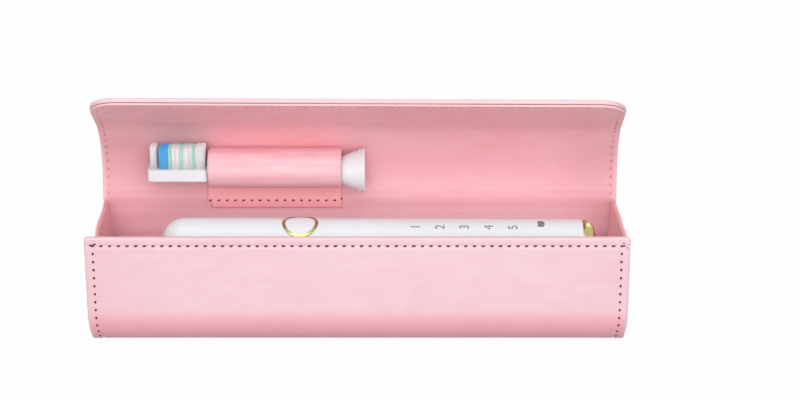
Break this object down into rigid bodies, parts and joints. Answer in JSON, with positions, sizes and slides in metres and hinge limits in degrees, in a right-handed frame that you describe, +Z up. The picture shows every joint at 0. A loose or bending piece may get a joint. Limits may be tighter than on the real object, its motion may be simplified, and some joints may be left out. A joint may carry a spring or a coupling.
{
  "type": "electric toothbrush travel case",
  "caption": "Folded leather travel case with a curved hinged lid: a foam bed holds an electric toothbrush handle, and a loop on the lid holds its brush head.",
  "frame": {"origin": "centre of the case's base, on the surface it stands on", "axes": "+X along the case towards the handle's base end, +Y towards the hinge at the back, +Z up"},
  "size_m": [0.225, 0.064, 0.1015],
  "materials": {
    "outer_leather": "semi-matte coated leather, fine streaky grain",
    "inner_leather": "semi-matte coated leather lining",
    "panel_leather": "semi-matte coated leather",
    "stiffener": "grey-brown fibre board",
    "seam_thread": "twisted polyester thread",
    "magnet_plate": "nickel plated",
    "bed_foam": "flocked closed-cell foam",
    "handle_white": "satin white moulding",
    "button_white": "satin white moulding",
    "gold_trim": "gold plated",
    "grey_rubber": "soft moulded rubber",
    "steel": "turned steel",
    "chassis_plastic": "moulded plastic",
    "board_green": "laminate",
    "cell_wrap": "shrink wrap",
    "copper_wire": "enamelled winding",
    "light_lens": "clear resin",
    "brush_white": "satin white moulding",
    "band_white": "satin white moulding",
    "bristle_white": "nylon filament",
    "bristle_blue": "nylon filament",
    "bristle_mint": "nylon filament"
  },
  "bodies": {
    "case": {"case_cover": "outer_leather", "front_board": "stiffener", "base_board": "stiffener", "back_board": "stiffener", "bend_fillers": "stiffener", "case_lining": "inner_leather", "hinge_strip": "panel_leather", "case_magnets": "magnet_plate", "left_end_panel": "panel_leather", "right_end_panel": "panel_leather", "left_end_lining": "inner_leather", "right_end_lining": "inner_leather", "foam_bed": "bed_foam", "front_seam_thread": "seam_thread", "left_seam_thread": "seam_thread", "right_seam_thread": "seam_thread"},
    "lid": {"lid_cover": "outer_leather", "lid_board": "stiffener", "lid_lining": "inner_leather", "lid_magnets": "magnet_plate", "lid_seam_thread": "seam_thread", "hinge_fold": "panel_leather", "brush_loop": "inner_leather", "loop_thread": "seam_thread"},
    "handle": {"handle_shell": "handle_white", "button_ring": "gold_trim", "button_switch": "chassis_plastic", "circuit_board": "board_green", "indicator_lights": "light_lens", "shaft_seal": "grey_rubber", "motor": "steel", "chassis": "chassis_plastic", "battery_cell": "cell_wrap", "base_ring": "gold_trim", "base_oring": "grey_rubber", "base_cap": "handle_white", "charging_coil": "copper_wire"},
    "button": {"button": "button_white"},
    "drive": {"drive_shaft": "steel"},
    "brush": {"brush_stem": "brush_white", "brush_band": "band_white", "socket_clip": "steel", "white_bristles": "bristle_white", "blue_bristles": "bristle_blue", "mint_bristles": "bristle_mint"}
  },
  "joints": [
    {"name": "lid_hinge", "type": "hinge", "parent": "case", "child": "lid", "pos_m": [0, 0.0291, 0.046], "axis": [1, 0, 0], "range_deg": [-30, 53.3]},
    {"name": "handle_lift", "type": "slide", "parent": "case", "child": "handle", "axis": [0, 0, -1], "range_m": [-0.034, 0]},
    {"name": "button_press", "type": "slide", "parent": "handle", "child": "button", "axis": [0, 0.2419, -0.9703], "range_m": [0, 0.0006], "stiffness_N_per_m": 3000, "springref_m": -0.0002},
    {"name": "shaft_turn", "type": "hinge", "parent": "handle", "child": "drive", "pos_m": [-0.0911, -0.0118, 0.03645], "axis": [1, 0, 0], "range_deg": [-4, 4], "stiffness_Nm_per_rad": 0.02},
    {"name": "brush_slide", "type": "slide", "parent": "lid", "child": "brush", "axis": [-1, 0, 0], "range_m": [-0.105, 0], "deforming": ["brush_loop"]}
  ]
}
